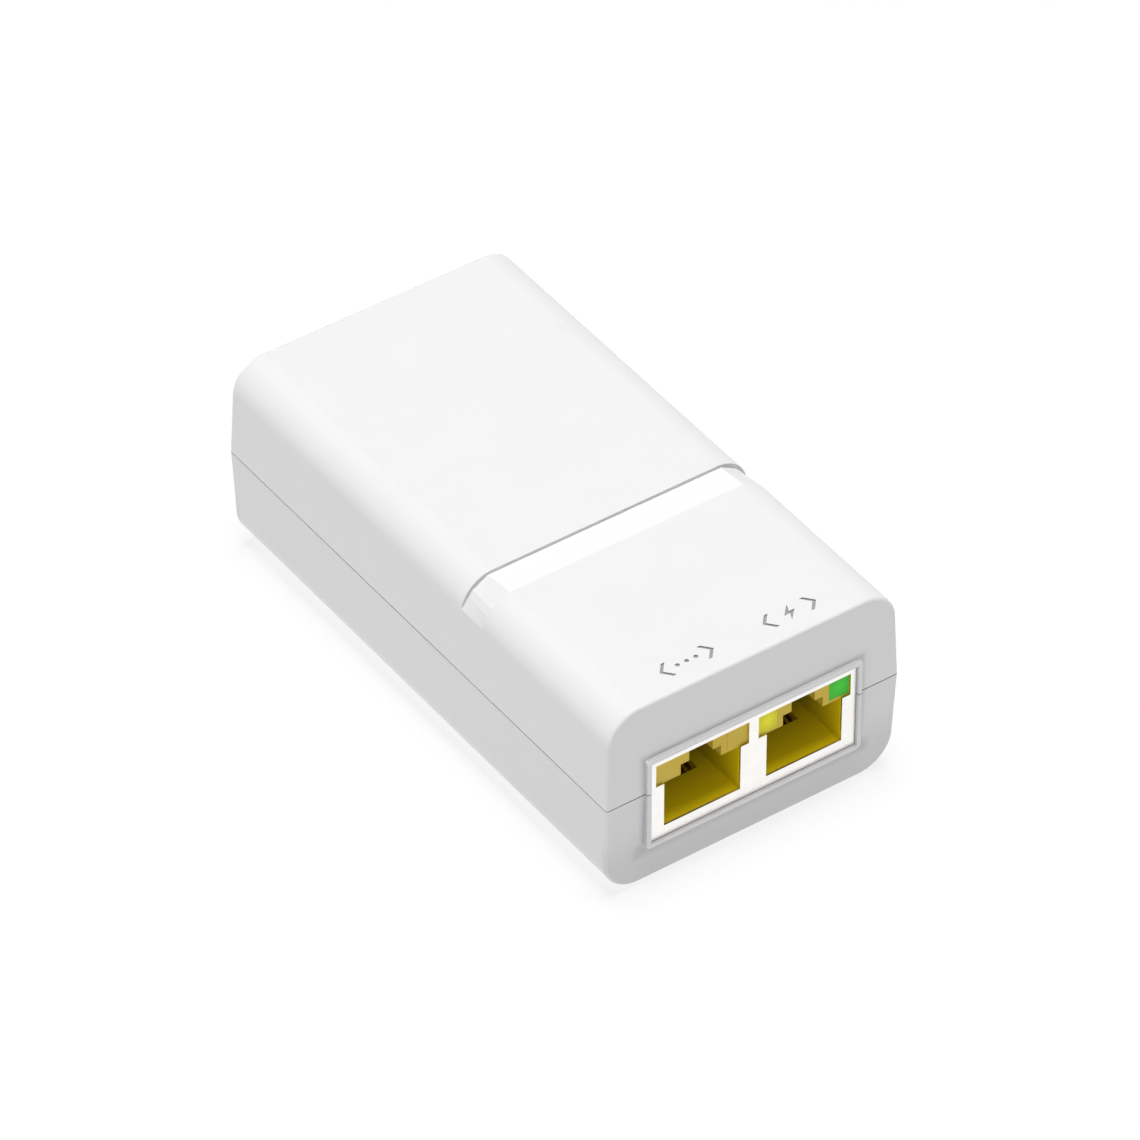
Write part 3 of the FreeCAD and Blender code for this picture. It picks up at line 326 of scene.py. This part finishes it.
def board(name):
    """Green solder mask over faint copper tracks."""
    made = Recipe(name)
    tracks = made.node("ShaderNodeTexBrick")
    tracks.inputs["Scale"].default_value = 160
    tracks.inputs["Mortar Size"].default_value = 0.06
    made.link(made.place, tracks.inputs["Vector"])
    green = made.mix(tracks.outputs["Fac"], (0.02, 0.17, 0.06), (0.03, 0.26, 0.09))
    made.colour(made.mix(made.noise(2 * MM), green, (0.02, 0.2, 0.07)))
    made.roughness(made.between(made.noise(1 * MM), 0.25, 0.4))
    made.bump(tracks.outputs["Fac"], 0.03 * MM)
    return made


def windings(name, colour):
    """Close turns of enamelled wire."""
    made = Recipe(name)
    waves = made.node("ShaderNodeTexWave", wave_type="RINGS", rings_direction="Z")
    waves.inputs["Scale"].default_value = 900
    made.link(made.place, waves.inputs["Vector"])
    # The grooves between turns are coloured darker: painted shade.
    made.colour(made.mix(waves.outputs["Fac"], shade(colour, 0.45), colour))
    made.roughness(made.between(made.noise(1 * MM), 0.25, 0.4))
    made.shader.inputs["Metallic"].default_value = 0.8
    made.bump(waves.outputs["Fac"], 0.15 * MM)
    return made



SLOT_LOOKS = {
    "jack_face": lambda: metal("jack_face", (0.96, 0.935, 0.905), rough=0.3),
    "port_plastic": lambda: port_plastic("port_plastic"),
    "lamp_block": lambda: moulded("lamp_block", TAN, rough=0.42, drift=0.06, Specular_IOR_Level=0.15),
    "gold_contact": lambda: metal("gold_contact", (0.66, 0.48, 0.10), rough=0.34, brush=(1, 0.1, 1)),
    "screw_steel": lambda: metal("screw_steel", (0.62, 0.63, 0.65), rough=0.32),
    "foot_rubber": lambda: moulded("foot_rubber", (0.03, 0.03, 0.032), rough=0.75, grain=0.4 * MM,
                                   depth=0.02 * MM, drift=0.15),
    "label_foil": lambda: label_foil("label_foil"),
    "inlet_black": lambda: moulded("inlet_black", (0.02, 0.02, 0.021), rough=0.42, drift=0.1),
    "pin_brass": lambda: metal("pin_brass", (0.72, 0.69, 0.6), rough=0.3, brush=(1, 0.05, 1),
                               depth=0.0006 * MM),
    "board_green": lambda: board("board_green"),
    "film_clear": lambda: moulded("film_clear", (0.62, 0.63, 0.58), rough=0.25),
    "block_yellow": lambda: moulded("block_yellow", (0.72, 0.55, 0.05), rough=0.4),
    "epoxy_black": lambda: moulded("epoxy_black", (0.02, 0.02, 0.02), rough=0.5, drift=0.2),
    "ferrite": lambda: moulded("ferrite", (0.06, 0.06, 0.065), rough=0.55, depth=0.02 * MM, drift=0.2),
    "heat_aluminium": lambda: metal("heat_aluminium", (0.75, 0.75, 0.77), rough=0.35, brush=(1, 1, 0.1)),
    "can_black": lambda: moulded("can_black", (0.03, 0.035, 0.06), rough=0.25, drift=0.1),
    "fuse_brown": lambda: moulded("fuse_brown", (0.5, 0.44, 0.34), rough=0.35, drift=0.08),
    "disc_green": lambda: moulded("disc_green", (0.03, 0.16, 0.08), rough=0.3, drift=0.15),
    "disc_blue": lambda: moulded("disc_blue", (0.05, 0.16, 0.45), rough=0.3, drift=0.15),
    "copper_wire": lambda: windings("copper_wire", (0.72, 0.36, 0.13)),
    "bobbin_black": lambda: moulded("bobbin_black", (0.04, 0.04, 0.04), rough=0.4, drift=0.1),
    "tape_yellow": lambda: moulded("tape_yellow", (0.8, 0.62, 0.06), rough=0.28, drift=0.06),
}

NODE_LOOKS = {
    "top_cover": lambda: case_white("case_white_top", is_top=True),
    # The base is a slightly darker copy of the case white: painted shade on the lower half.
    "bottom_cover": lambda: case_white("case_white_base", brightness=0.97),
    "lan_left_lamp": lambda: moulded("lan_left_lens", TAN, rough=0.34, drift=0.08,
                                     Specular_IOR_Level=0.2),
    "lan_right_lamp": lambda: moulded("lan_right_lens", TAN, rough=0.34, drift=0.08,
                                      Specular_IOR_Level=0.2),
    "poe_left_lamp": lambda: lens("poe_left_lens", lens_centre("poe_left_lamp"),
                                  (0.52, 0.48, 0.012), (0.6, 0.56, 0.01), 0.12),
    "poe_right_lamp": lambda: lens("poe_right_lens", lens_centre("poe_right_lamp"),
                                   (0.035, 0.38, 0.022), (0.03, 0.5, 0.02), 0.12),
}


def dress_nodes():
    """Every CAD node keeps its shape and gets the look of its material slot or its own."""
    made = {}
    for part in frame["record"]["subparts"]:
        node, slot = part["node"], part["material_slot"]
        key = node if node in NODE_LOOKS else slot
        if key not in made:
            made[key] = (NODE_LOOKS.get(node) or SLOT_LOOKS[slot])().material
        mesh = nodes[node].data
        mesh.materials.clear()
        mesh.materials.append(made[key])


dress_nodes()

# --- contact wires: bent strips that run on from the fixed tails into the springs ----------------

WIRE_PITCH = 1.016 * MM
WIRE_WIDTH, WIRE_THICK = 0.4 * MM, 0.3 * MM
WIRE_SLOPE = math.radians(22)
WIRE_REACH = 6.7 * MM
BEND_SETBACK = 0.1 * MM
TAIL_DROP, TAIL_CORNER = 0.75 * MM, 0.3 * MM
KNEE_SETBACK, KNEE_STEP, KNEE_END = 0.5 * MM, 0.22 * MM, 0.55 * MM
KNEE_ANGLE = math.radians(48)
KNEE_STEPS = 5
WIRES_PER_ROW = 8


def towards(angle, length=1.0):
    """A step in Y and Z at an angle above +Y."""
    return length * Vector((math.cos(angle), math.sin(angle)))


def arc(middle, radius, start, end, steps):
    """Evenly spaced points round part of a circle."""
    return [middle + towards(start + (end - start) * step / steps, radius) for step in range(steps + 1)]


def wire_path(hinge, tail_end, tail_z):
    """Middle line of one wire in Y and Z: pin, tail, round front bend, slope and knee."""
    start = Vector(hinge) - towards(WIRE_SLOPE, BEND_SETBACK)
    turn = math.radians(90) + WIRE_SLOPE
    radius = (start.y - tail_z) / (1 + math.sin(turn))
    path = [Vector((tail_end, tail_z - TAIL_DROP))]
    corner = Vector((tail_end - TAIL_CORNER, tail_z - TAIL_CORNER))
    path += arc(corner, TAIL_CORNER, 0, math.radians(90), 6)
    path += arc(start - towards(turn, radius), radius, math.radians(270), turn, 12)
    path.append(Vector(hinge) + towards(WIRE_SLOPE, WIRE_REACH - KNEE_SETBACK))
    for step in range(1, KNEE_STEPS + 1):
        path.append(path[-1] + towards(WIRE_SLOPE - KNEE_ANGLE * step / KNEE_STEPS, KNEE_STEP))
    path.append(path[-1] + towards(WIRE_SLOPE - KNEE_ANGLE, KNEE_END))
    return path


def strip_section():
    """Corners of the rounded rectangle that one wire is drawn to: across and through."""
    half, deep, soft = WIRE_WIDTH / 2, WIRE_THICK / 2, 0.05 * MM
    return [(half - soft, deep), (half, deep - soft), (half, soft - deep), (half - soft, -deep),
            (soft - half, -deep), (-half, soft - deep), (-half, deep - soft), (soft - half, deep)]


def sweep(path, section, x):
    """Points and faces of a capped strip drawn along a path at one place across."""
    points, faces = [], []
    ring, last = len(section), len(path) - 1
    for number, place in enumerate(path):
        along = (path[min(number + 1, last)] - path[max(number - 1, 0)]).normalized()
        across = Vector((-along.y, along.x))
        for offset, lift in section:
            spot = place + across * lift
            points.append((x + offset, spot.x, spot.y))
    for number in range(last):
        for side in range(ring):
            here, after = number * ring + side, number * ring + (side + 1) % ring
            faces.append((here, here + ring, after + ring, after))
    faces.append(tuple(range(ring)))
    faces.append(tuple(last * ring + side for side in reversed(range(ring))))
    return points, faces


def contact_wires(port):
    """The eight wires of a port, which bend where the fixed tails meet the moving springs."""
    springs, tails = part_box(f"{port}_contact_springs"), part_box(f"{port}_contact_tails")
    hinge = (springs[0].y + WIRE_THICK / 2, springs[0].z + WIRE_THICK / 2)
    path = wire_path(hinge, tails[1].y - WIRE_THICK / 2, tails[0].z + TAIL_DROP)
    points, faces = [], []
    for wire in range(WIRES_PER_ROW):
        x = springs[0].x + WIRE_WIDTH / 2 + wire * WIRE_PITCH
        more_points, more_faces = sweep(path, strip_section(), x)
        faces += [tuple(len(points) + corner for corner in face) for face in more_faces]
        points += more_points
    mesh = bpy.data.meshes.new(f"{port}_contact_wires")
    mesh.from_pydata(points, [], faces)
    mesh.validate()
    mesh.shade_smooth()
    mesh.set_sharp_from_angle(angle=math.radians(50))
    mesh.materials.append(nodes[f"{port}_contact_springs"].data.materials[0])
    wires = bpy.data.objects.new(f"{port}_contact_wires", mesh)
    bpy.context.scene.collection.objects.link(wires)
    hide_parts(f"{port}_contact_springs", f"{port}_contact_tails")
    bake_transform(wires)


for port in ("lan", "poe"):
    contact_wires(port)

# --- floor, light and camera -----------------------------------------------------------------


FLOOR_SIZE, FLOOR_DROP = 40.0, 0.02 * MM
FLOOR_ALBEDO, FLOOR_GLOW = 0.24, 0.76


def pale_floor():
    """A floor that gives off most of its own light, so that the case casts only a faint shadow."""
    mesh = bpy.data.meshes.new("floor")
    half = FLOOR_SIZE / 2
    corners = [(-half, -half), (half, -half), (half, half), (-half, half)]
    mesh.from_pydata([(x, y, -FLOOR_DROP) for x, y in corners], [], [(0, 1, 2, 3)])
    floor = bpy.data.objects.new("floor", mesh)
    bpy.context.scene.collection.objects.link(floor)
    paint = bpy.data.materials.new("floor_white")
    paint.use_nodes = True
    shader = paint.node_tree.nodes["Principled BSDF"]
    shader.inputs["Base Color"].default_value = (FLOOR_ALBEDO, FLOOR_ALBEDO, FLOOR_ALBEDO, 1)
    shader.inputs["Roughness"].default_value = 0.9
    shader.inputs["Specular IOR Level"].default_value = 0.0
    shader.inputs["Emission Color"].default_value = (1, 1, 1, 1)
    shader.inputs["Emission Strength"].default_value = FLOOR_GLOW
    mesh.materials.append(paint)


def soft_light(name, place, size, power, target=(0, 0, 0.015)):
    data = bpy.data.lights.new(name, "AREA")
    data.shape = "SQUARE"
    data.size = size
    data.energy = power
    lamp = bpy.data.objects.new(name, data)
    lamp.location = place
    lamp.rotation_euler = (Vector(target) - Vector(place)).to_track_quat("-Z", "Y").to_euler()
    bpy.context.scene.collection.objects.link(lamp)
    return lamp


def light_only(lamp, receivers):
    """Keeps a lamp's light off everything but these objects."""
    lit = bpy.data.collections.new(lamp.name + "_receivers")
    for receiver in receivers:
        lit.objects.link(receiver)
    lamp.light_linking.receiver_collection = lit


def studio_walls(strength, horizon=1.0, overhead=0.12):
    """A world that is white round the horizon and dim overhead, like a cyclorama."""
    world = bpy.data.worlds.new("studio")
    world.use_nodes = True
    tree = world.node_tree
    direction = tree.nodes.new("ShaderNodeTexCoord").outputs["Generated"]
    split = tree.nodes.new("ShaderNodeSeparateXYZ")
    tree.links.new(direction, split.inputs[0])
    fade = tree.nodes.new("ShaderNodeMapRange")
    fade.interpolation_type = "SMOOTHSTEP"
    for socket, value in (("From Min", 0.1), ("From Max", 0.35), ("To Min", horizon), ("To Max", overhead)):
        fade.inputs[socket].default_value = value
    tree.links.new(split.outputs["Z"], fade.inputs["Value"])
    background = tree.nodes["Background"]
    background.inputs["Strength"].default_value = strength
    tree.links.new(fade.outputs["Result"], background.inputs["Color"])
    bpy.context.scene.world = world


LENS, SENSOR, CLIP_END = 256, 36, 20
AZIMUTH, ELEVATION = math.radians(-35.14), math.radians(41.09)
DISTANCE = 1.0096
AIM = Vector((-0.01523, -0.02415, 0.0389))


def camera():
    """A long lens from in front, to the left and above."""
    data = bpy.data.cameras.new("camera")
    data.sensor_width = SENSOR
    data.lens = LENS
    data.clip_end = CLIP_END
    view = bpy.data.objects.new("camera", data)
    back = Vector((math.sin(AZIMUTH) * math.cos(ELEVATION), -math.cos(AZIMUTH) * math.cos(ELEVATION),
                   math.sin(ELEVATION)))
    view.location = AIM + back * DISTANCE
    view.rotation_euler = (-back).to_track_quat("-Z", "Y").to_euler()
    bpy.context.scene.collection.objects.link(view)
    bpy.context.scene.camera = view


pale_floor()
studio_walls(0.62)
soft_light("overhead_softbox", (0.0, 0.0, 1.6), 0.8, 24.9)
soft_light("left_softbox", (-1.5, 0.1, 1.0), 0.8, 2.8)
port_lamp = soft_light("port_lamp", (-0.45, -1.0, 0.75), 0.3, 8.5, (0, -0.043, 0.014))
in_ports = [item for name, item in nodes.items() if "_port_insert" in name or "_lamp" in name]
light_only(port_lamp, in_ports)
camera()
bpy.context.scene.view_settings.view_transform = "Standard"
bpy.context.scene.view_settings.look = "None"
